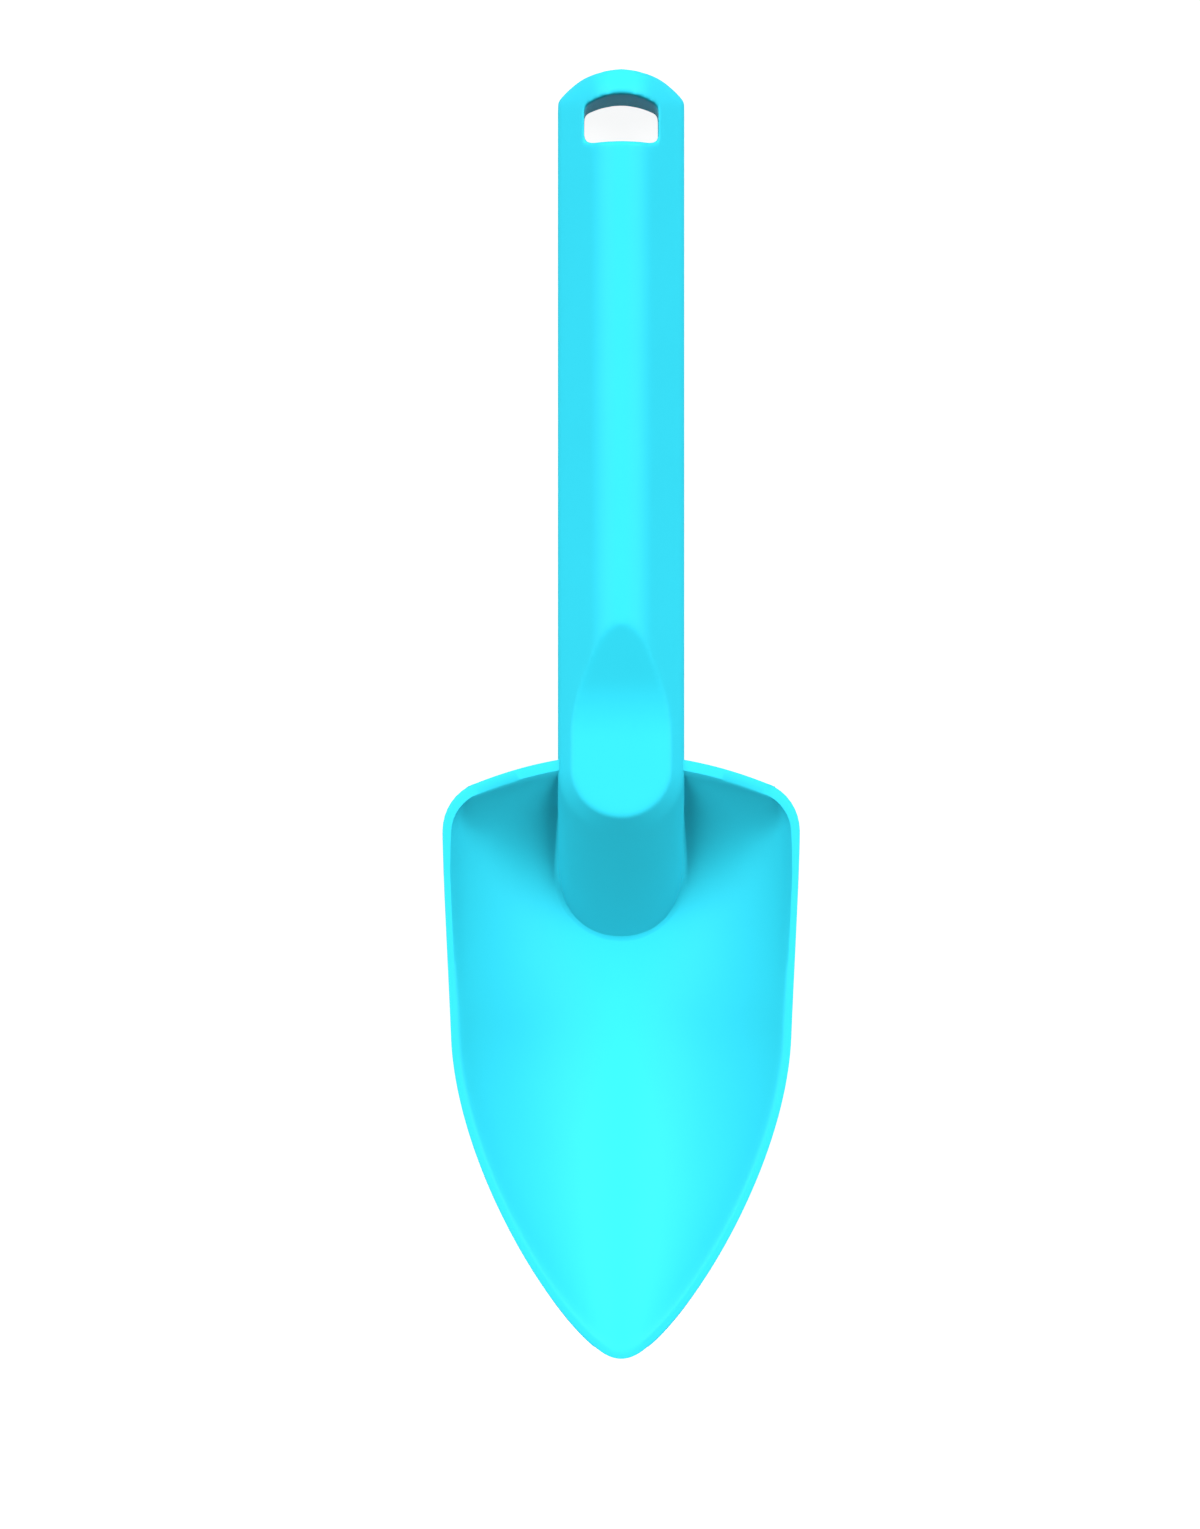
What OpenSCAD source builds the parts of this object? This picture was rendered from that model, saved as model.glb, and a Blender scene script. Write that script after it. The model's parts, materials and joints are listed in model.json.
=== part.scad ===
// Hand spade for sand: a dished blade with a hollow tang, and a channel handle that snaps down over it.
// The pieces are drawn in the tool frame: X across, Y from the tip to the handle's end, and Z up from the
// plane of the rim. lay_down() then sets the spade on its back, on its belly and the handle's end.

/* [Blade outline] */
// Length of the blade on the centre line, from the tip to the top of the heel arch
blade_len = 124.2; // [118:0.1:132]
// Widest width, across the heel corners
blade_w = 73.3; // [70:0.1:80]
// Width where the curved flank runs into the side
waist_w = 69.9; // [64:0.1:71]
// Distance of that waist from the tip
waist_y = 66; // [58:0.5:74]
// Half-width of the flat stretch that blunts the tip's curve
tip_pull = 9.5; // [7:0.1:13]
// Length over which the flank's curve straightens before the waist
flank_pull = 29; // [22:0.5:36]
// Radius of the heel corners
corner_r = 10.4; // [6:0.1:12]
// Radius of the heel arch
heel_r = 78; // [65:1:110]

/* [Blade section] */
// Width of the flat rim
rim_w = 2.2; // [1.6:0.1:3]
// Thickness of the floor on the keel
floor_t = 1.8; // [1.4:0.1:2.6]
// Depth of the keel below the rim, outside
keel_depth = 22.4; // [20:0.1:26]
// Distance of the keel's lowest point from the heel
keel_back = 44.2; // [36:0.1:52]
// Fullness of the cross section: 2 is a parabola, and more is flatter on the keel and steeper at the rim
section_fill = 2.5; // [2:0.1:3]
// Slope of the heel wall, in degrees
heel_slope = 39; // [38:1:48]
// How sharply the floor bends up into the heel wall
heel_bend = 4.5; // [2:0.5:6]

/* [Handle] */
// Overall length, from the tip to the handle's end
spade_len = 264; // [245:1:290]
// Width across the back edges
handle_w = 26.2; // [23:0.1:28]
// Thickness on the centre line
handle_t = 16; // [15:0.1:18]
// Height of the front's ridge above the rim
front_z = 8.8; // [8:0.1:10]
// Radius of the ridge along the front
ridge_r = 9; // [7:0.1:10.5]
// Slope of the front beside the ridge, in degrees
front_slope = 44; // [36:1:46]
// Draft of the flanks, in degrees
flank_draft = 1; // [0.5:0.5:5]
// Thickness of the handle's skin
skin_t = 2.2; // [1.8:0.1:2.6]
// Radius of the arched end
end_r = 16.7; // [14.5:0.1:22]
// Radius of the shoulders beside the arched end
shoulder_r = 1.8; // [1:0.1:4]
// Length over which the front rolls down at the end
end_run = 7.3; // [5:0.1:9]
// Radius of that roll along the ridge
end_round = 11; // [10:0.1:14]

/* [Thumb rest and foot] */
// Length of the thumb rest, from the crest to its upper end
thumb_len = 39.3; // [36:0.1:42]
// Depth of the thumb rest below the ridge
thumb_depth = 6.2; // [5:0.1:6.6]
// Slope of the ramp that leads down into the thumb rest, in degrees
thumb_slope = 20; // [17:0.5:24]
// Radius of the bend at the foot of that ramp
thumb_bend_r = 35; // [25:1:45]
// Distance from the heel of the crest between the thumb rest and the foot
crest_back = 12.7; // [10:0.1:15]
// Distance from the heel of the foot's toe on the blade's floor
toe_back = 38.8; // [35:0.1:42]
// Roundness of the toe in plan: 1 is a half circle, and less is blunter
toe_round = 0.67; // [0.45:0.01:1]

/* [Hanging slot] */
// Width of the slot
slot_w = 15.2; // [12:0.1:17]
// Length of the slot on the centre line
slot_len = 9.5; // [8:0.1:14]
// Web between the slot and the handle's end
slot_web = 5.6; // [4:0.1:8]
// Radius of the slot's arched side
slot_arch_r = 15; // [9:0.1:20]
// Radius of the slot's straight side's corners
slot_corner_r = 1.7; // [0.6:0.1:2.5]

/* [Tang and snap fit] */
// Length of the tang behind the heel
tang_len = 41.8; // [34:0.1:52]
// Thickness of the tang's walls
tang_t = 1.8; // [1.4:0.1:2.2]
// Clearance between the handle and the blade
fit_gap = 0.15; // [0.1:0.05:0.3]
// Depth of the notch by which the handle's back edges sit over the heel wall
seat_step = 0.8; // [0.5:0.1:1.5]
// Radius of the snap beads on the tang's flanks
bead_r = 0.8; // [0.6:0.1:1]
// Height of the snap beads above the tang's flanks
bead_proud = 0.45; // [0.3:0.05:0.5]
// Length of the snap beads
bead_len = 30; // [20:1:34]

/* [Channel ribs] */
// Number of cross ribs in the handle's channel
rib_count = 3; // [1:1:5]
// Thickness of a cross rib
rib_t = 1.6; // [1.2:0.1:2.2]
// Depth of the ribs' edges below the back of the handle
rib_inset = 2; // [1:0.1:4]

/* [Hidden] */
$fn = 96;
plastic = "#3cdcf4";

// Grid of the blade's surfaces: steps across, and along the flank, side and corner
across_n = 28;
flank_n = 20;
side_n = 14;
corner_n = 8;
arc_n = 12;
ridge_n = 16;
nose_n = 64;
// Where along the flank's curve the tip's arc ends
tip_share = 0.16;
// Slope of the side at the waist, as width gained for length
waist_lean = 0.04;

// Places along the spade, from the tip. The handle's blanks start well before the foot.
keel_y = blade_len - keel_back;
toe_y = blade_len - toe_back;
start_y = toe_y - handle_w;
crest_y = blade_len - crest_back;
thumb_top_y = crest_y + thumb_len;
tang_end_y = blade_len + tang_len;

back_z = front_z - handle_t;
crest_z = front_z - thumb_depth;
ceiling_z = crest_z - skin_t;
// Axis of the roll at the handle's end, and the height that it leaves there
roll_y = spade_len - end_run;
roll_z = front_z - end_round;
end_z = roll_z + sqrt(end_round * end_round - end_run * end_run);
// Depth to which the blanks run below the belly, and by which cutters run past them
spare = 4;
deep_z = -keel_depth - spare;
// Overlap by which fused solids enter each other, and cutters leave what they cut
bite = 0.6;
// Thickness that a solid drawn between outlines gives them
hairline = 0.02;

function arc(centre, r, from, to, n) =
    [for (k = [0:n]) let (a = from + (to - from) * k / n) centre + r * [cos(a), sin(a)]];
function bezier(a, b, c, d, t) =
    pow(1 - t, 3) * a + 3 * t * pow(1 - t, 2) * b + 3 * t * t * (1 - t) * c + pow(t, 3) * d;

// Right half of the outline, from the tip's arc to the heel's arch
waist = [waist_w / 2, waist_y];
heel_centre_y = blade_len - heel_r;
corner_x = blade_w / 2 - corner_r;
corner_y = heel_centre_y + sqrt(pow(heel_r - corner_r, 2) - corner_x * corner_x);
corner_end = atan2(corner_y - heel_centre_y, corner_x);
side_lead = (corner_y - waist_y) / 3;
function flank_at(t) =
    bezier([0, 0], [tip_pull, 0], waist - flank_pull * [waist_lean, 1], waist, t);
function side_at(t) = bezier(waist, waist + side_lead * [waist_lean, 1],
    [blade_w / 2, corner_y - side_lead / 2], [blade_w / 2, corner_y], t);
rim = concat(
    [for (k = [0:flank_n]) flank_at(tip_share + (1 - tip_share) * k / flank_n)],
    [for (k = [1:side_n]) side_at(k / side_n)],
    [for (k = [1:corner_n]) [corner_x, corner_y] + corner_r *
        [cos(corner_end * k / corner_n), sin(corner_end * k / corner_n)]]);
rows = len(rim);
function rim_normal(i) =
    let (d = rim[min(i + 1, rows - 1)] - rim[max(i - 1, 0)]) [d.y, -d.x] / norm(d);
function rim_inset(i, inset) = rim[i] - inset * rim_normal(i);

// A point of the blade's surface: u runs across from -1 to 1, i is the row, inset draws the outline in,
// and rise lifts the keel. The outside has neither, the inside the rim's width and the floor's thickness.
function surface_at(u, i, inset, rise) =
    let (
        p = rim_inset(i, inset),
        first = rim_inset(0, inset),
        last = rim_inset(rows - 1, inset),
        bow = 1 - u * u,
        bulge = 1 - pow(abs(u), section_fill),
        tip_bow = (first.y - inset) * pow(max(0, 1 - i / flank_n * 2), 2),
        heel_bow = blade_len - inset - last.y,
        heel_share = max(0, (p.y - waist_y) / (last.y - waist_y)),
        x = u * p.x,
        y = p.y + bow * (heel_bow * heel_share * heel_share - tip_bow),
        tip_edge = first.y - (first.y - inset) * bow,
        heel_edge = last.y + heel_bow * (1 - pow(x / last.x, 2)),
        dish = (keel_depth - rise) * (1 - pow((keel_y - y) / (keel_y - tip_edge), 2)) * bulge,
        wall = tan(heel_slope) * (heel_edge - y))
    [x, y, dish < 0.0001 || wall < 0.0001 ? 0 :
        -dish * wall / pow(pow(dish, heel_bend) + pow(wall, heel_bend), 1 / heel_bend)];
function surface_row(i, inset, rise, reach) =
    [for (k = [-reach:reach]) surface_at(2 * k / across_n, i, inset, rise)];

// Height of the inside floor on the centre line, by straight steps between rows
keel_line = [for (i = [0:rows - 1]) surface_at(0, i, rim_w, floor_t)];
toe_z = lookup(toe_y, [for (p = keel_line) [p.y, p.z]]);
foot_slope = atan2(crest_z - toe_z, crest_y - toe_y);

// Tilt that sets the belly and the handle's back end on one plane
belly_line = [for (i = [0:rows - 1]) surface_at(0, i, 0, 0)];
lay_tilt = max([for (p = belly_line) atan2(back_z - p.z, spade_len - p.y)]);
lay_y = spade_len * cos(lay_tilt) + end_z * sin(lay_tilt);
lay_z = spade_len * sin(lay_tilt) - back_z * cos(lay_tilt);

module lay_down() {
    translate([0, -lay_y / 2, lay_z])
        rotate([-lay_tilt, 0, 0])
            children();
}

// Closed slab between two grids of points, the upper one and the lower one
module slab(upper, lower) {
    n = len(upper);
    m = len(upper[0]);
    below = n * m;
    points = concat([for (r = upper) each r], [for (r = lower) each r]);
    faces = concat(
        [for (i = [0:n - 2], j = [0:m - 2]) let (a = i * m + j)
            each [[a, a + m, a + 1], [a + 1, a + m, a + m + 1]]],
        [for (i = [0:n - 2], j = [0:m - 2]) let (a = below + i * m + j)
            each [[a, a + 1, a + m], [a + 1, a + m + 1, a + m]]],
        [for (i = [0:n - 2], j = [0, m - 1]) let (a = i * m + j, b = a + m, c = a + below, d = b + below)
            each j == 0 ? [[a, c, b], [b, c, d]] : [[a, b, c], [b, d, c]]],
        [for (j = [0:m - 2], i = [0, n - 1]) let (a = i * m + j, b = a + 1, c = a + below, d = b + below)
            each i == 0 ? [[a, b, c], [b, d, c]] : [[a, c, b], [b, c, d]]]);
    polyhedron(points, faces);
}

module blade_shell() {
    half = across_n / 2;
    slab([for (i = [0:rows - 1]) surface_row(i, rim_w, floor_t, half)],
        [for (i = [0:rows - 1]) surface_row(i, 0, 0, half)]);
}

// Everything below the blade's inside surface, drawn out by inset and rise, round the handle's foot
module ground(inset, rise, lift) {
    lowest_y = toe_y + (deep_z - toe_z) / tan(foot_slope);
    first = max([for (i = [0:rows - 1]) if (keel_line[i].y < lowest_y - bite) i]);
    reach = ceil(across_n / 2 * (flank_x(deep_z) + bite) / rim_inset(rows - 1, rim_w).x);
    top = [for (i = [first:rows - 1]) [for (p = surface_row(i, inset, rise, reach)) p + [0, 0, lift]]];
    slab(top, [for (r = top) [for (p = r) [p.x, p.y, deep_z - spare]]]);
}

// Half-width of the handle at a height, between its drafted flanks and under its sloped front
function flank_x(z) = handle_w / 2 + (back_z - z) * tan(flank_draft);
function roof_x(z) =
    ridge_r * sin(front_slope) + (front_z - ridge_r * (1 - cos(front_slope)) - z) / tan(front_slope);
// Height at which the flanks meet the sloped front
eave_z = (roof_x(0) - flank_x(0)) / (1 / tan(front_slope) - tan(flank_draft));

// Solid drawn along Y from a section in X and Z
module along(from, to) {
    translate([0, to, 0])
        rotate([90, 0, 0])
            linear_extrude(to - from)
                children();
}

// Section between the drafted flanks, drawn in by inset, between two heights
module flank_section(inset, bottom, top) {
    polygon([
        [flank_x(bottom) - inset, bottom],
        [flank_x(top) - inset, top],
        [inset - flank_x(top), top],
        [inset - flank_x(bottom), bottom]]);
}

// Solid drawn across the spade from a profile in Y and Z
module across(width) {
    translate([-width / 2, 0, 0])
        rotate([90, 0, 90])
            linear_extrude(width)
                children();
}

// Wide roof with a round ridge at height 0, drawn in by inset
module roof_section(inset, depth) {
    ridge = arc([0, -ridge_r], ridge_r - inset, 90 - front_slope, 90 + front_slope, ridge_n);
    eave = ridge[0] + depth * [cos(front_slope), -sin(front_slope)];
    polygon(concat(ridge, [[-eave.x, eave.y], [-eave.x, -depth], [eave.x, -depth], eave]));
}

// Section of the handle under its ridged front, drawn in by inset, between two heights
module ridged_section(inset, bottom, top) {
    intersection() {
        flank_section(inset, bottom, top);
        translate([0, front_z])
            roof_section(inset, 3 * handle_w);
    }
}

// Slanted round front of the foot, drawn in by inset: at each height as wide as the handle's section there,
// blunt at the toe and a half circle at the crest
module foot_front(inset, far_y) {
    setback = inset / sin(foot_slope);
    hull()
        for (z = [deep_z, eave_z, front_z]) {
            r = (z > eave_z ? roof_x(z) : flank_x(z)) - inset + hairline;
            roundness = toe_round + (1 - toe_round) * (z - toe_z) / (crest_z - toe_z);
            middle_y = toe_y + setback + (z - toe_z) / tan(foot_slope) + r * roundness;
            translate([0, middle_y, z])
                linear_extrude(hairline) {
                    scale([1, roundness])
                        circle(r, $fn = nose_n);
                    translate([-r, 0])
                        square([2 * r, far_y - middle_y]);
                }
        }
}

// Everything above the thumb rest: its floor, the bend and the ramp
module thumb_cut() {
    bend_drop = thumb_bend_r * (1 - cos(thumb_slope));
    ramp_y = thumb_top_y - (thumb_depth - bend_drop) / tan(thumb_slope);
    bend_y = ramp_y - thumb_bend_r * sin(thumb_slope);
    above = handle_t / 4;
    across(2 * handle_w)
        polygon(concat(
            [[toe_y, front_z + above], [toe_y, crest_z]],
            arc([bend_y, crest_z + thumb_bend_r], thumb_bend_r, -90, thumb_slope - 90, arc_n),
            [[thumb_top_y + above / tan(thumb_slope), front_z + above]]));
}

// Plan of the arched end
module end_plan() {
    half = flank_x(deep_z) + bite;
    side = handle_w / 2;
    arch_y = spade_len - end_r;
    shoulder = [side - shoulder_r, arch_y + sqrt(pow(end_r - shoulder_r, 2) - pow(side - shoulder_r, 2))];
    turn = atan2(shoulder.y - arch_y, shoulder.x);
    polygon(concat(
        [[-half, start_y], [half, start_y], [half, shoulder.y - 2 * shoulder_r]],
        [[side, shoulder.y - shoulder_r]],
        arc(shoulder, shoulder_r, 0, turn, arc_n),
        arc([0, arch_y], end_r, turn, 180 - turn, 2 * arc_n),
        arc([-shoulder.x, shoulder.y], shoulder_r, 180 - turn, 180, arc_n),
        [[-side, shoulder.y - shoulder_r], [-half, shoulder.y - 2 * shoulder_r]]));
}

// The handle's section drawn along to its end, where the front rolls down about a cross axis
module rolled_bar() {
    along(start_y, roll_y)
        ridged_section(0, deep_z, front_z);
    along(roll_y - bite, spade_len + bite)
        flank_section(0, deep_z, roll_z + bite);
    translate([0, roll_y, roll_z])
        rotate([0, 90, 0])
            rotate_extrude()
                rotate(-90)
                    translate([0, -roll_z])
                        ridged_section(0, roll_z + bite / 2, front_z);
}

// Plan of the hanging slot: an arch over a straight side with round corners
module slot_plan() {
    half = slot_w / 2;
    top = spade_len - slot_web;
    low = top - slot_len;
    arch_y = top - slot_arch_r;
    turn = acos(half / slot_arch_r);
    polygon(concat(
        arc([half - slot_corner_r, low + slot_corner_r], slot_corner_r, -90, 0, arc_n),
        arc([0, arch_y], slot_arch_r, turn, 180 - turn, 2 * arc_n),
        arc([slot_corner_r - half, low + slot_corner_r], slot_corner_r, 180, 270, arc_n)));
}

// Where the channel behind the tang ends, before the slot's wall
channel_end_y = spade_len - slot_web - slot_len - skin_t;
// End of the notch over the heel wall, clear of the wall's outside at the height of the handle's back
seat_y = blade_len + back_z / tan(heel_slope) + fit_gap / sin(heel_slope);
// Place of the snap beads
bead_z = (ceiling_z + back_z) / 2;
bead_x = flank_x(bead_z) - skin_t - fit_gap - bead_r + bead_proud;
bead_end_y = tang_end_y - 2 * tang_t;
// Lift that leaves the clearance square to the heel wall's slope
ground_lift = fit_gap / cos(heel_slope);

// What is taken from under a drafted blank: the blade, up to a step above the back's plane, and behind it
// all that lies below that plane
module under_cut(inset, rise, lift, step) {
    below = deep_z - spare - bite;
    intersection() {
        ground(inset, rise, lift);
        translate([-blade_w / 2, 0, below])
            cube([blade_w, seat_y, back_z + step - below]);
    }
    translate([-handle_w, seat_y - bite, below])
        cube([2 * handle_w, spade_len, back_z - below]);
}

// Blank inside the handle, drawn in by inset from its flanks and foot, up to a ceiling and an end
module core(inset, top, end_y) {
    intersection() {
        along(start_y, end_y)
            ridged_section(inset, deep_z, top);
        foot_front(inset, end_y + bite);
    }
}

module snap_beads(gap) {
    for (side = [-1, 1])
        translate([side * bead_x, bead_end_y + gap, bead_z])
            rotate([90, 0, 0])
                cylinder(r = bead_r + gap, h = bead_len + 2 * gap);
}

// Notch in the heel wall through which the handle passes
module heel_notch() {
    along(toe_y, blade_len + bite)
        flank_section(-fit_gap, back_z + seat_step - fit_gap, front_z);
}

module tang() {
    inset = skin_t + fit_gap;
    difference() {
        core(inset, ceiling_z - fit_gap, tang_end_y);
        under_cut(rim_w / 2, floor_t / 2, 0, 0);
    }
    snap_beads(0);
}

module tang_hollow() {
    core(skin_t + fit_gap + tang_t, ceiling_z - fit_gap - tang_t, tang_end_y - tang_t);
}

module blade() {
    color(plastic)
        lay_down()
            difference() {
                union() {
                    difference() {
                        blade_shell();
                        heel_notch();
                    }
                    tang();
                }
                tang_hollow();
            }
}

module handle_blank() {
    difference() {
        intersection() {
            rolled_bar();
            foot_front(0, spade_len + bite);
            translate([0, 0, deep_z])
                linear_extrude(front_z - deep_z + bite)
                    end_plan();
        }
        under_cut(rim_w, floor_t, ground_lift, seat_step);
    }
}

module hanging_slot() {
    translate([0, 0, back_z - bite])
        linear_extrude(handle_t + 2 * bite)
            slot_plan();
}

// Channel behind the tang, under the ridged front
module channel() {
    along(tang_end_y - bite, channel_end_y)
        ridged_section(skin_t, back_z - bite, front_z);
}

module cross_ribs() {
    pitch = (channel_end_y - tang_end_y) / (rib_count + 1);
    for (k = [1:rib_count])
        along(tang_end_y + k * pitch - rib_t / 2, tang_end_y + k * pitch + rib_t / 2)
            ridged_section(skin_t / 2, back_z + rib_inset, front_z);
}

module handle() {
    color(plastic)
        lay_down() {
            difference() {
                handle_blank();
                core(skin_t, ceiling_z, tang_end_y + fit_gap);
                channel();
                thumb_cut();
                hanging_slot();
                snap_beads(fit_gap);
            }
            cross_ribs();
        }
}

blade();
handle();
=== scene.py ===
import json
import math

import bpy
from mathutils import Matrix, Vector


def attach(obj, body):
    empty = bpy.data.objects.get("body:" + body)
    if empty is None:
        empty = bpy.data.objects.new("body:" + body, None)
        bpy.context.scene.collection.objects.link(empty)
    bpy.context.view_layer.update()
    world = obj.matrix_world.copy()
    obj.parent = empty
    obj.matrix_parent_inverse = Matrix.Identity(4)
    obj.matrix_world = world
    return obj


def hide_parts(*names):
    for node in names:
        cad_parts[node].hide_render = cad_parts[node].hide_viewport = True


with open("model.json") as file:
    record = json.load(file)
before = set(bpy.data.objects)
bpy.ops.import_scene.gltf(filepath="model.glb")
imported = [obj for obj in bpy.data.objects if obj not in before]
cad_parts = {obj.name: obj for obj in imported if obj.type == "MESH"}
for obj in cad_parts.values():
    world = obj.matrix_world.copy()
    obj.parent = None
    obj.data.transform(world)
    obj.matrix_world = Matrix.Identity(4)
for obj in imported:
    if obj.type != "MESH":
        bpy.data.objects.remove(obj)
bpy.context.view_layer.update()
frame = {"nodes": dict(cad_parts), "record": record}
print("frame loaded:", sorted(frame["nodes"]))

# The pieces are modelled in the spade's own frame: X across, Y from the tip to the handle's end,
# Z up from the plane of the rim. The hanging slot's mount says how the spade lies in the CAD frame.
slotCentre = Vector((0, 0.2537, 0.0008))
slotMount = next(m for m in frame["record"]["mounts"] if m["name"] == "hang_slot")
lieTilt = math.atan2(slotMount["axis"][1], slotMount["axis"][2])
lieTurn = Matrix.Rotation(-lieTilt, 4, "X")
lieShift = Vector(slotMount["pos_m"]) - lieTurn @ slotCentre
lieDown = Matrix.Translation(lieShift) @ lieTurn

tiny = 1e-6


def clamp(value):
    return min(1, max(0, value))


def ease(value):
    # from 0 to 1, with a soft start and a soft end
    share = clamp(value)
    return share ** 2 * (3 - 2 * share)


def startPiece(name):
    piece = bpy.context.object
    piece.name = name
    piece.data.name = name
    return piece


def onlySelect(*pieces):
    bpy.ops.object.select_all(action="DESELECT")
    for piece in pieces:
        piece.select_set(True)
    bpy.context.view_layer.objects.active = pieces[0]


def applyAll(piece):
    onlySelect(piece)
    for modifier in list(piece.modifiers):
        bpy.ops.object.modifier_apply(modifier=modifier.name)


def cut(piece, cutter, operation="DIFFERENCE"):
    modifier = piece.modifiers.new("cut", "BOOLEAN")
    modifier.object = cutter
    modifier.operation = operation
    modifier.solver = "MANIFOLD"
    applyAll(piece)
    bpy.data.objects.remove(cutter)


def weld(piece):
    onlySelect(piece)
    bpy.ops.object.mode_set(mode="EDIT")
    bpy.ops.mesh.select_all(action="SELECT")
    bpy.ops.mesh.remove_doubles(threshold=tiny)
    bpy.ops.object.mode_set(mode="OBJECT")


def recalcNormals(piece):
    onlySelect(piece)
    bpy.ops.object.mode_set(mode="EDIT")
    bpy.ops.mesh.select_all(action="SELECT")
    bpy.ops.mesh.normals_make_consistent(inside=False)
    bpy.ops.object.mode_set(mode="OBJECT")


def laySpade(piece):
    onlySelect(piece)
    piece.matrix_world = lieDown @ piece.matrix_world
    bpy.ops.object.transform_apply(location=True, rotation=True, scale=True)


# Blade

blade = {
    "length": 0.1242, "width": 0.0733,
    "waistWidth": 0.0699, "waist": 0.066, "waistLean": 0.04,
    "tipPull": 0.0095, "tipShare": 0.16, "flankPull": 0.029,
    "cornerRadius": 0.0104, "heelRadius": 0.078,
    "heelRim": 0.0022, "sideRim": 0.0013, "heelFrom": 0.1, "floor": 0.0021,
    "keelDepth": 0.0222, "keel": 0.08,
    "tipFill": 1.9, "heelFill": 3, "sideWall": 0.15, "sideSharp": 24,
    "fillFrom": 0.07, "fillTo": 0.108,
    "heelSlope": 41, "heelBend": 4.5, "leastDepth": 1e-7,
    "acrossSteps": 72, "flankSteps": 44, "sideSteps": 36, "cornerSteps": 8, "sideCrowd": 0.3,
    "rimRound": 0.0003, "heelRound": 0.0003, "sideRound": 0.001, "smoothAngle": 34,
}


def bezier(a, b, c, d, t):
    return (1 - t) ** 3 * a + 3 * t * (1 - t) ** 2 * b + 3 * t * t * (1 - t) * c + t ** 3 * d


def bladeRows():
    # half of the rim's outline, with each point's share of the way from the tip to the waist
    waist = Vector((blade["waistWidth"] / 2, blade["waist"]))
    lean = Vector((blade["waistLean"], 1))
    half = blade["width"] / 2
    heelCentre = blade["length"] - blade["heelRadius"]
    cornerX = half - blade["cornerRadius"]
    cornerY = heelCentre + math.sqrt((blade["heelRadius"] - blade["cornerRadius"]) ** 2 - cornerX ** 2)
    cornerCentre = Vector((cornerX, cornerY))
    cornerEnd = math.atan2(cornerY - heelCentre, cornerX)
    tip = Vector((0, 0))
    tipLead = Vector((blade["tipPull"], 0))
    flankLead = waist - blade["flankPull"] * lean
    lead = (cornerY - blade["waist"]) / 3
    sideEnd = Vector((half, cornerY))
    sideLead = waist + lead * lean
    cornerLead = sideEnd - Vector((0, lead / 2))
    rows = []
    for k in range(blade["flankSteps"] + 1):
        share = k / blade["flankSteps"]
        t = blade["tipShare"] + (1 - blade["tipShare"]) * share
        rows.append((bezier(tip, tipLead, flankLead, waist, t), share))
    for k in range(1, blade["sideSteps"] + 1):
        rows.append((bezier(waist, sideLead, cornerLead, sideEnd, k / blade["sideSteps"]), 1))
    for k in range(1, blade["cornerSteps"] + 1):
        turn = cornerEnd * k / blade["cornerSteps"]
        reach = blade["cornerRadius"] * Vector((math.cos(turn), math.sin(turn)))
        rows.append((cornerCentre + reach, 1))
    return rows


rimRows = bladeRows()
lastRow = len(rimRows) - 1


def rimPoint(i, inset):
    along = rimRows[min(i + 1, lastRow)][0] - rimRows[max(i - 1, 0)][0]
    outward = Vector((along.y, -along.x)).normalized()
    return rimRows[i][0] - inset * outward


def bladePoint(u, i, inset, rise):
    p = rimPoint(i, inset)
    first = rimPoint(0, inset)
    last = rimPoint(lastRow, inset)
    bow = 1 - u * u
    tipBow = (first.y - inset) * max(0, 1 - 2 * rimRows[i][1]) ** 2
    heelBow = blade["length"] - inset - last.y
    heelShare = max(0, (p.y - blade["waist"]) / (last.y - blade["waist"]))
    x = u * p.x
    y = p.y + bow * (heelBow * heelShare ** 2 - tipBow)
    tipEdge = first.y - (first.y - inset) * bow
    heelEdge = last.y + heelBow * (1 - (x / last.x) ** 2)
    # the section is a trough with steep sides at the heel, and nearer a V towards the tip
    share = ease((y - blade["fillFrom"]) / (blade["fillTo"] - blade["fillFrom"]))
    fill = blade["tipFill"] + (blade["heelFill"] - blade["tipFill"]) * share
    steep = blade["sideWall"] * share
    bulge = steep * (1 - abs(u) ** blade["sideSharp"]) + (1 - steep) * (1 - abs(u) ** fill)
    keel = blade["keel"]
    dish = (blade["keelDepth"] - rise) * (1 - ((keel - y) / (keel - tipEdge)) ** 2) * bulge
    wall = math.tan(math.radians(blade["heelSlope"])) * (heelEdge - y)
    if min(dish, wall) < blade["leastDepth"]:
        return Vector((x, y, 0))
    bend = blade["heelBend"]
    return Vector((x, y, -dish * wall / (dish ** bend + wall ** bend) ** (1 / bend)))


def dishedSlab(name, upper, lower):
    # a flat grid drawn out to a slab, whose two faces then take the blade's curves
    bpy.ops.object.select_all(action="DESELECT")
    bpy.ops.mesh.primitive_grid_add(x_subdivisions=blade["acrossSteps"], y_subdivisions=lastRow, size=2)
    slab = startPiece(name)
    bpy.ops.object.mode_set(mode="EDIT")
    bpy.ops.mesh.select_all(action="SELECT")
    bpy.ops.mesh.extrude_region_move(TRANSFORM_OT_translate={"value": (0, 0, -1)})
    bpy.ops.object.mode_set(mode="OBJECT")
    outerRim = slab.vertex_groups.new(name="outer_rim")
    crowd = blade["sideCrowd"]
    for vertex in slab.data.vertices:
        row = round((vertex.co.y + 1) / 2 * lastRow)
        isLower = vertex.co.z < -0.5
        if isLower and (abs(vertex.co.x) > 1 - tiny or row in (0, lastRow)):
            outerRim.add([vertex.index], 1, "REPLACE")
        # the grid is finer at the sides
        u = vertex.co.x * (1 + crowd - crowd * vertex.co.x ** 2)
        vertex.co = (lower if isLower else upper)(u, row)
    recalcNormals(slab)
    return slab


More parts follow.
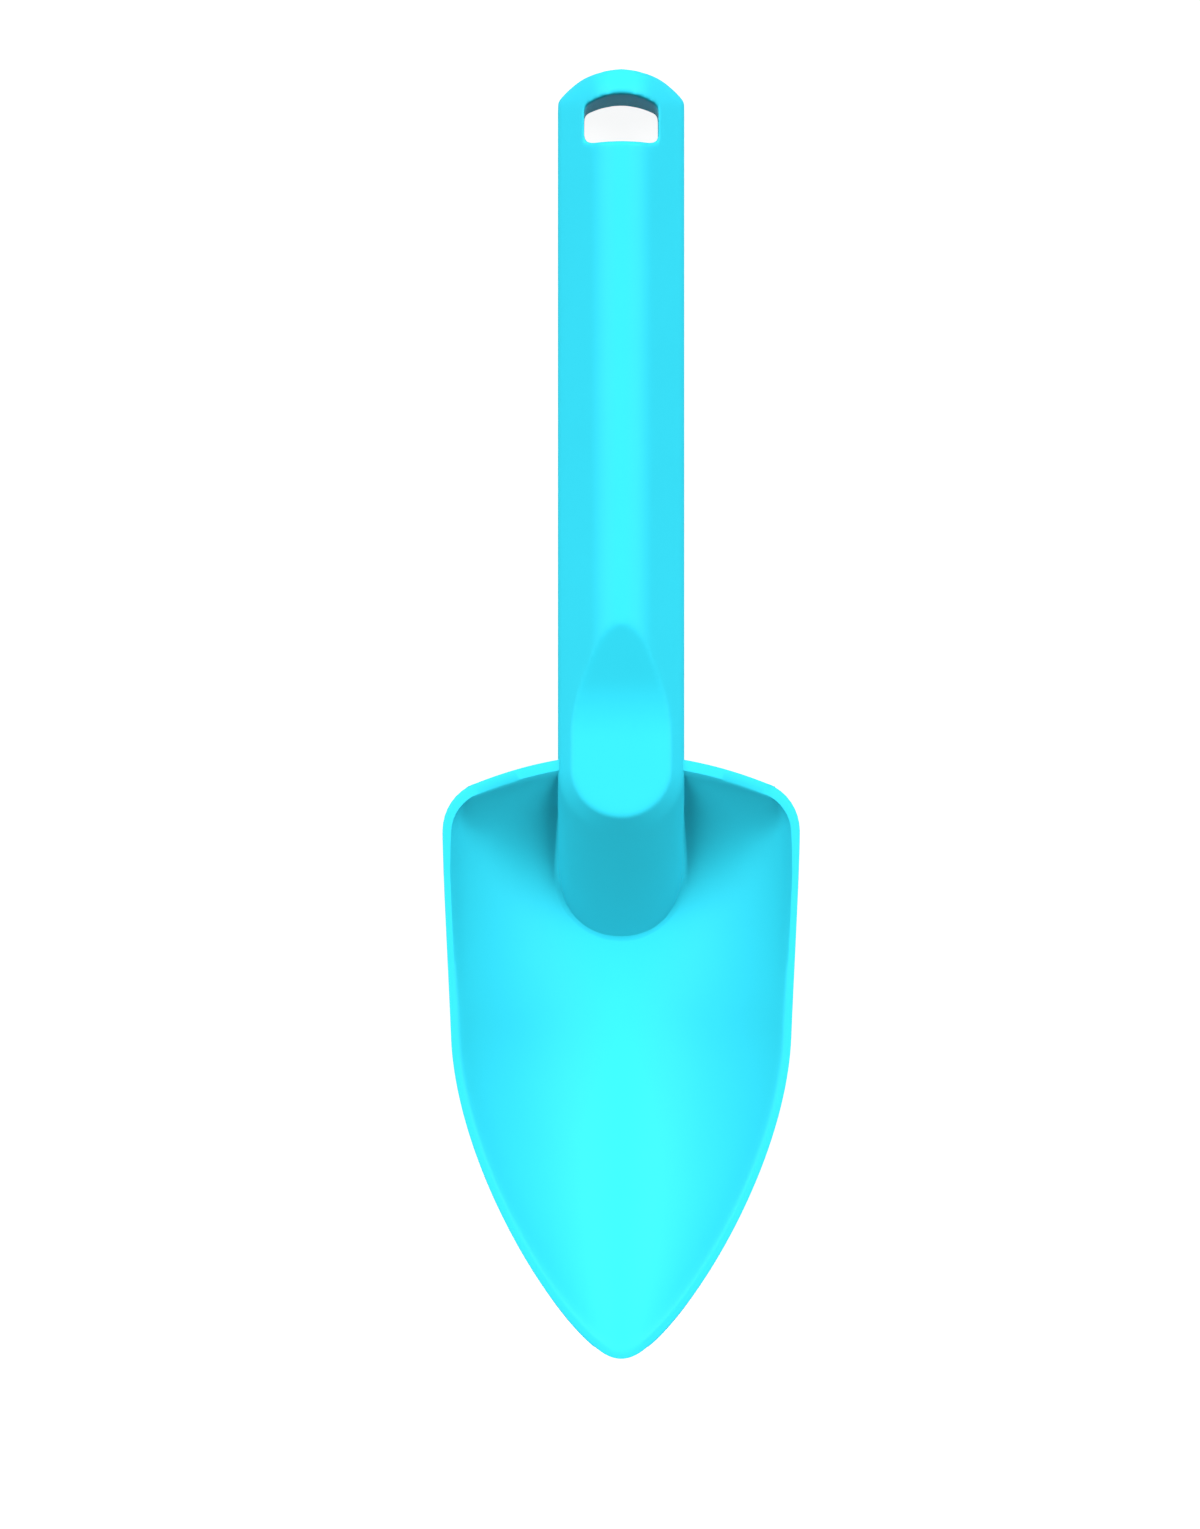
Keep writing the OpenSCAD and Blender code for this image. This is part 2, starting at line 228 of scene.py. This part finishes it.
def sideToHeel(row, sideSize, heelSize):
    # a size that changes round the blade's corner
    start, end = blade["heelFrom"], rimRows[lastRow][0].y
    share = max(0, (rimRows[row][0].y - start) / (end - start))
    return sideSize + (heelSize - sideSize) * share


def rimWidth(row):
    return sideToHeel(row, blade["sideRim"], blade["heelRim"])


def bladeInside(u, row):
    point = bladePoint(u, row, rimWidth(row), blade["floor"])
    # the rim's inner edge is round
    point.z *= 1 - math.exp(point.z / sideToHeel(row, blade["sideRound"], blade["heelRound"]))
    return point


def bladeOutside(u, row):
    # drawn out by what the rounding of the rim takes off
    return bladePoint(u, row, -blade["rimRound"] / 2, 0)


def makeBladeShell():
    shell = dishedSlab("blade_shell", bladeInside, bladeOutside)
    bpy.ops.object.mode_set(mode="EDIT")
    bpy.ops.mesh.select_all(action="DESELECT")
    bpy.ops.mesh.select_mode(type="EDGE")
    bpy.ops.object.vertex_group_select()
    bpy.ops.mesh.bevel(offset=blade["rimRound"], segments=3, profile=0.5)
    bpy.ops.object.mode_set(mode="OBJECT")
    return shell


bladeShell = makeBladeShell()
print("blade shell:", len(bladeShell.data.polygons), "faces")

# Tang, which stands up from the floor and the heel into the handle. It follows the handle's foot,
# so the handle's sizes come first.

handle = {
    "width": 0.0262, "back": -0.0072, "draft": 1,
    "skin": 0.0022, "gap": 0.00015,
    "crest": 0.1115, "crestHeight": 0.0026,
    "toe": 0.0854, "toeHeight": -0.0196945, "toeRound": 0.67,
    "voxel": 0.00048, "softening": 12, "softenBy": 0.5,
    "footSink": 0.0014, "footReach": 0.0024, "footEnd": 0.116, "footFade": 0.006,
    "end": 0.264, "endBow": 40, "endLift": 0.0006, "endDepth": 0.0045,
    "shoulderSlope": 4.4, "shoulderStart": 0.55,
}
tang = {
    "end": 0.166, "wall": 0.0018, "seat": 0.0008, "deep": -0.0264, "drumSides": 64,
    "notchFrom": 0.1, "notchTo": 0.13, "notchTop": 0.01,
    "cutHalf": 0.05, "cutLow": -0.06, "cutEnd": 0.2,
}


def floorHeight(x, y):
    # height of the blade's inside, by straight steps between the rows
    before = None
    for row in range(lastRow + 1):
        point = bladeInside(x / rimPoint(row, rimWidth(row)).x, row)
        if point.y >= y and before:
            share = (y - before.y) / (point.y - before.y)
            return before.z + share * (point.z - before.z)
        before = point
    return 0


footRise = handle["crestHeight"] - handle["toeHeight"]
footSlope = math.atan2(footRise, handle["crest"] - handle["toe"])


def flankX(z):
    return handle["width"] / 2 + (handle["back"] - z) * math.tan(math.radians(handle["draft"]))


def noseY(z):
    return handle["toe"] + (z - handle["toeHeight"]) / math.tan(footSlope)


def noseRound(z):
    # blunt at the toe, and a half circle at the crest
    share = (z - handle["toeHeight"]) / footRise
    return handle["toeRound"] + (1 - handle["toeRound"]) * share


def footBlank(name, inset, top, end):
    # a drum leaned back to the foot's slope, its far half drawn out along the handle and cut off square
    setback = inset / math.sin(footSlope)
    low = tang["deep"]
    bpy.ops.object.select_all(action="DESELECT")
    bpy.ops.mesh.primitive_cylinder_add(vertices=tang["drumSides"], radius=1, depth=2)
    blank = startPiece(name)
    for vertex in blank.data.vertices:
        z = top if vertex.co.z > 0 else low
        r = flankX(z) - inset
        y = noseY(z) + setback + r * noseRound(z) * (1 + vertex.co.y)
        if vertex.co.y > -tiny:
            y = end
        vertex.co = Vector((r * vertex.co.x, y, z))
    weld(blank)
    recalcNormals(blank)
    return blank


def boxBetween(name, low, high):
    bpy.ops.object.select_all(action="DESELECT")
    middle = (Vector(low) + Vector(high)) / 2
    bpy.ops.mesh.primitive_cube_add(size=1, location=middle, scale=Vector(high) - Vector(low))
    box = startPiece(name)
    bpy.ops.object.transform_apply(location=True, rotation=True, scale=True)
    return box


def wallMiddle(u, row):
    return bladePoint(u, row, rimWidth(row) / 2, blade["floor"] / 2)


def farBelow(u, row):
    point = wallMiddle(u, row)
    return Vector((point.x, point.y, 2 * tang["deep"]))


def makeTang():
    inset = handle["skin"] + handle["gap"]
    top = handle["crestHeight"] - inset
    body = footBlank("tang", inset, top, tang["end"])
    cut(body, dishedSlab("ground", wallMiddle, farBelow))
    behind = blade["length"] + handle["back"] / math.tan(math.radians(blade["heelSlope"]))
    low = (-tang["cutHalf"], behind, tang["cutLow"])
    high = (tang["cutHalf"], tang["cutEnd"], handle["back"])
    cut(body, boxBetween("under", low, high))
    return body


def makeBlade():
    half = flankX(0) - handle["gap"] * 2
    notchLow = handle["back"] + tang["seat"] - handle["gap"]
    low = (-half, tang["notchFrom"], notchLow)
    high = (half, tang["notchTo"], tang["notchTop"])
    cut(bladeShell, boxBetween("notch", low, high))
    cut(bladeShell, makeTang(), "UNION")
    inset = handle["skin"] + handle["gap"] + tang["wall"]
    top = handle["crestHeight"] - inset
    cut(bladeShell, footBlank("hollow", inset, top, tang["end"] - tang["wall"]))
    bladeShell.name = "blade_moulding"
    bladeShell.data.name = "blade_moulding"
    onlySelect(bladeShell)
    bpy.ops.object.shade_smooth_by_angle(angle=math.radians(blade["smoothAngle"]))
    laySpade(bladeShell)
    return bladeShell


bladeMoulding = makeBlade()
print("blade:", len(bladeMoulding.data.polygons), "faces")

# Handle: the CAD solid with its edges rounded as a moulding's are


def sinkFoot(piece):
    # the foot's lower edge is drawn down its own slope, into the blade's floor
    downSlope = Vector((0, -1 / math.tan(footSlope), -1))
    for vertex in piece.data.vertices:
        if vertex.co.y > handle["footEnd"] or vertex.co.z > 0:
            continue
        height = vertex.co.z - floorHeight(vertex.co.x, vertex.co.y)
        near = clamp(1 - height / handle["footReach"])
        fade = clamp((handle["footEnd"] - vertex.co.y) / handle["footFade"])
        vertex.co += handle["footSink"] * near * fade * downSlope


def roundShoulders(piece):
    # the end's outline, a bow, is lifted towards its shoulders
    for vertex in piece.data.vertices:
        x = abs(vertex.co.x)
        outline = handle["end"] - handle["endBow"] * x * x
        across = ease(x / handle["width"] * handle["shoulderSlope"] - handle["shoulderStart"])
        along = ease(1 + (vertex.co.y - outline) / handle["endDepth"])
        vertex.co.y += handle["endLift"] * across * along


def makeHandle():
    bpy.ops.object.select_all(action="DESELECT")
    piece = bpy.data.objects.new("handle_moulding", frame["nodes"]["handle"].data.copy())
    bpy.context.scene.collection.objects.link(piece)
    piece.data.name = "handle_moulding"
    piece.data.transform(lieDown.inverted())
    weld(piece)
    remesh = piece.modifiers.new("moulding", "REMESH")
    remesh.mode = "VOXEL"
    remesh.voxel_size = handle["voxel"]
    soften = piece.modifiers.new("softening", "SMOOTH")
    soften.factor = handle["softenBy"]
    soften.iterations = handle["softening"]
    applyAll(piece)
    sinkFoot(piece)
    roundShoulders(piece)
    bpy.ops.object.shade_smooth()
    laySpade(piece)
    return piece


handleMoulding = makeHandle()
print("handle:", len(handleMoulding.data.polygons), "faces")

# Lip round the foot, where the handle sits on the blade's floor

lip = {
    "height": 0.0013, "width": 0.001, "sink": 0.0007,
    "noseBite": 0.00012, "flankBite": 0.0006, "skim": 0.00002,
    "end": 0.114, "taper": 0.014, "leastSize": 0.05,
    "probe": 0.0003, "coreBehindNose": 0.02, "seatRounds": 8,
    "arcSteps": 5, "noseSteps": 48, "flankSteps": 24, "smoothAngle": 40,
}


def footWall(turn, y, z):
    # the foot's side at a height: round its nose by turn, or along its flank at y
    r = flankX(z)
    if y:
        return Vector((math.copysign(r, math.cos(turn)), y, z))
    return Vector((r * math.cos(turn), noseY(z) + r * noseRound(z) * (1 - math.sin(turn)), z))


def seat(turn, y):
    # where the foot's side meets the floor, closer at each round
    point = footWall(turn, y, handle["toeHeight"])
    for seatRound in range(lip["seatRounds"]):
        point = footWall(turn, y, floorHeight(point.x, point.y))
    return point


def lipStations():
    flankStart = seat(0, None).y
    flankLength = lip["end"] - flankStart
    steps = lip["flankSteps"]
    alongFlank = [flankStart + flankLength * k / steps for k in range(steps, 0, -1)]
    roundNose = [math.pi * k / lip["noseSteps"] for k in range(lip["noseSteps"] + 1)]
    return ([(0, y) for y in alongFlank] + [(turn, None) for turn in roundNose]
            + [(math.pi, y) for y in reversed(alongFlank)])


def floorNormal(point):
    probe = lip["probe"]
    riseX = floorHeight(point.x + probe, point.y) - floorHeight(point.x - probe, point.y)
    riseY = floorHeight(point.x, point.y + probe) - floorHeight(point.x, point.y - probe)
    return Vector((-riseX, -riseY, 2 * probe)).normalized()


def lipSection(station, before, after):
    # a hollow arc from the foot's side to the floor, closed by a point inside both
    corner = seat(*station)
    along = (after - before).normalized()
    probe = lip["probe"]
    up = footWall(*station, corner.z + probe) - footWall(*station, corner.z - probe)
    side = along.cross(up).normalized()
    ground = floorNormal(corner)
    core = Vector((0, noseY(corner.z) + lip["coreBehindNose"], corner.z))
    if side.dot(corner - core) < 0:
        side = -side
    climb = side.cross(along).normalized()
    climb = climb if climb.z > 0 else -climb
    out = ground.cross(along).normalized()
    out = out if out.dot(side) > 0 else -out
    size = min(1, max(lip["leastSize"], (lip["end"] - corner.y) / lip["taper"]))
    # the arc starts inside the foot's side, deeper along its flanks, and ends just inside the floor
    flank = math.cos(station[0]) ** 2
    bite = lip["noseBite"] + flank * (lip["flankBite"] - lip["noseBite"])
    high = corner + size * lip["height"] * climb - bite * side
    far = corner + size * lip["width"] * out - lip["skim"] * ground
    points = []
    for k in range(lip["arcSteps"] + 1):
        t = k / lip["arcSteps"]
        points.append((1 - t) ** 2 * high + 2 * t * (1 - t) * corner + t * t * far)
    points.append(corner - lip["sink"] * (side + ground).normalized())
    points.append(points[0])
    return points


def makeLip():
    stations = lipStations()
    seats = [seat(*station) for station in stations]
    last = len(stations) - 1
    rings = []
    for k, station in enumerate(stations):
        rings.append(lipSection(station, seats[max(k - 1, 0)], seats[min(k + 1, last)]))
    lastPoint = len(rings[0]) - 1
    bpy.ops.object.select_all(action="DESELECT")
    bpy.ops.mesh.primitive_grid_add(x_subdivisions=lastPoint, y_subdivisions=last, size=2)
    piece = startPiece("foot_lip")
    for vertex in piece.data.vertices:
        k = round((vertex.co.y + 1) / 2 * last)
        j = round((vertex.co.x + 1) / 2 * lastPoint)
        vertex.co = rings[k][j]
    weld(piece)
    # the two open ends are closed
    bpy.ops.object.mode_set(mode="EDIT")
    bpy.ops.mesh.select_all(action="DESELECT")
    bpy.ops.mesh.select_mode(type="EDGE")
    bpy.ops.mesh.select_non_manifold()
    bpy.ops.mesh.fill()
    bpy.ops.object.mode_set(mode="OBJECT")
    recalcNormals(piece)
    bpy.ops.object.shade_smooth_by_angle(angle=math.radians(lip["smoothAngle"]))
    laySpade(piece)
    return piece


footLip = makeLip()
print("foot lip:", len(footLip.data.polygons), "faces")

# Moulded plastic

plastic = {
    "light": (0.037, 0.785, 1, 1), "deep": (0.034, 0.755, 0.965, 1),
    # painted shade: a darker colour for light passed on between surfaces
    "paintedBounceShade": (0.012, 0.2, 0.26, 1),
    "roughness": (0.5, 0.6), "gloss": 0.12, "mottle": 55, "mottleDetail": 3,
    "grain": 2600, "grainDetail": 2, "bump": 0.00002, "bumpStrength": 0.25,
}


def makePlastic():
    material = bpy.data.materials.new("moulded_plastic")
    material.use_nodes = True
    nodes, links = material.node_tree.nodes, material.node_tree.links
    shader = nodes["Principled BSDF"]
    shader.inputs["Specular IOR Level"].default_value = plastic["gloss"]
    place = nodes.new("ShaderNodeTexCoord")
    mottle = nodes.new("ShaderNodeTexNoise")
    mottle.inputs["Scale"].default_value = plastic["mottle"]
    mottle.inputs["Detail"].default_value = plastic["mottleDetail"]
    tint = nodes.new("ShaderNodeMix")
    tint.data_type = "RGBA"
    tint.inputs["A"].default_value = plastic["deep"]
    tint.inputs["B"].default_value = plastic["light"]
    # painted shade: light passed on from surface to surface sees a darker colour than the plastic's
    # own, so that the scoop's hollow stays shaded
    path = nodes.new("ShaderNodeLightPath")
    shade = nodes.new("ShaderNodeMix")
    shade.data_type = "RGBA"
    shade.inputs["B"].default_value = plastic["paintedBounceShade"]
    grain = nodes.new("ShaderNodeTexNoise")
    grain.inputs["Scale"].default_value = plastic["grain"]
    grain.inputs["Detail"].default_value = plastic["grainDetail"]
    sheen = nodes.new("ShaderNodeMapRange")
    sheen.inputs["To Min"].default_value, sheen.inputs["To Max"].default_value = plastic["roughness"]
    bump = nodes.new("ShaderNodeBump")
    bump.inputs["Strength"].default_value = plastic["bumpStrength"]
    bump.inputs["Distance"].default_value = plastic["bump"]
    links.new(place.outputs["Object"], mottle.inputs["Vector"])
    links.new(place.outputs["Object"], grain.inputs["Vector"])
    links.new(mottle.outputs["Fac"], tint.inputs["Factor"])
    links.new(path.outputs["Is Diffuse Ray"], shade.inputs["Factor"])
    links.new(tint.outputs["Result"], shade.inputs["A"])
    links.new(shade.outputs["Result"], shader.inputs["Base Color"])
    links.new(grain.outputs["Fac"], sheen.inputs["Value"])
    links.new(sheen.outputs["Result"], shader.inputs["Roughness"])
    links.new(grain.outputs["Fac"], bump.inputs["Height"])
    links.new(bump.outputs["Normal"], shader.inputs["Normal"])
    return material


mouldedPlastic = makePlastic()
for piece in (bladeMoulding, handleMoulding, footLip):
    piece.data.materials.clear()
    piece.data.materials.append(mouldedPlastic)
    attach(piece, "root")
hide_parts("blade")
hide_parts("handle")

# Stage

stage = {
    "floorSize": 3, "floorDrop": 0.0002, "floorColour": (0.25, 0.25, 0.25, 1),
    "floorRoughness": 0.9, "floorGlow": 0.92, "white": (1, 1, 1, 1),
    "lightTilt": 27, "lightSide": 41, "lightPower": 2.55, "lightSpread": 38, "ambient": 0.04,
}


def makeFloor():
    bpy.ops.object.select_all(action="DESELECT")
    bpy.ops.mesh.primitive_plane_add(size=stage["floorSize"], location=(0, 0, -stage["floorDrop"]))
    floor = startPiece("floor")
    material = bpy.data.materials.new("floor_white")
    material.use_nodes = True
    nodes, links = material.node_tree.nodes, material.node_tree.links
    shader = nodes["Principled BSDF"]
    shader.inputs["Base Color"].default_value = stage["floorColour"]
    shader.inputs["Roughness"].default_value = stage["floorRoughness"]
    shader.inputs["Emission Color"].default_value = stage["white"]
    # white where it is seen, mirrored or seen through
    path = nodes.new("ShaderNodeLightPath")
    seen = path.outputs["Is Camera Ray"]
    for ray in ("Is Glossy Ray", "Is Transmission Ray"):
        either = nodes.new("ShaderNodeMath")
        either.operation = "MAXIMUM"
        links.new(seen, either.inputs[0])
        links.new(path.outputs[ray], either.inputs[1])
        seen = either.outputs["Value"]
    glow = nodes.new("ShaderNodeMath")
    glow.operation = "MULTIPLY"
    glow.inputs[1].default_value = stage["floorGlow"]
    links.new(seen, glow.inputs[0])
    links.new(glow.outputs["Value"], shader.inputs["Emission Strength"])
    floor.data.materials.append(material)


def makeLights():
    # a softbox on each side, both from beyond the handle's end
    for side, name in ((-1, "softbox_left"), (1, "softbox_right")):
        bpy.ops.object.light_add(type="SUN")
        lamp = bpy.context.object
        lamp.name = name
        lamp.data.energy = stage["lightPower"]
        lamp.data.angle = math.radians(stage["lightSpread"])
        across = side * math.tan(math.radians(stage["lightSide"]))
        along = math.tan(math.radians(stage["lightTilt"]))
        towards = lieTurn.to_3x3() @ Vector((across, along, 1))
        lamp.rotation_euler = towards.to_track_quat("Z", "Y").to_euler()
    world = bpy.context.scene.world or bpy.data.worlds.new("studio")
    bpy.context.scene.world = world
    world.use_nodes = True
    nodes, links = world.node_tree.nodes, world.node_tree.links
    background = nodes["Background"]
    background.inputs["Color"].default_value = stage["white"]
    # white where it is seen or mirrored, dim where it only lights
    path = nodes.new("ShaderNodeLightPath")
    strength = nodes.new("ShaderNodeMapRange")
    strength.inputs["To Min"].default_value = 1
    strength.inputs["To Max"].default_value = stage["ambient"]
    links.new(path.outputs["Is Diffuse Ray"], strength.inputs["Value"])
    links.new(strength.outputs["Result"], background.inputs["Strength"])


# Camera, square to the rim's plane, as in the photograph

lens = {"distance": 0.8, "aimX": -0.00435, "aimY": 0.1221, "seenHeight": 0.314, "clipStart": 0.01}


def makeCamera():
    bpy.ops.object.camera_add()
    camera = bpy.context.object
    camera.name = "camera"
    camera.matrix_world = lieDown @ Matrix.Translation((lens["aimX"], lens["aimY"], lens["distance"]))
    camera.data.sensor_fit = "VERTICAL"
    camera.data.angle = 2 * math.atan(lens["seenHeight"] / 2 / lens["distance"])
    camera.data.clip_start = lens["clipStart"]
    bpy.context.scene.camera = camera


makeFloor()
makeLights()
makeCamera()
bpy.context.scene.view_settings.view_transform = "Standard"
print("stage ready")
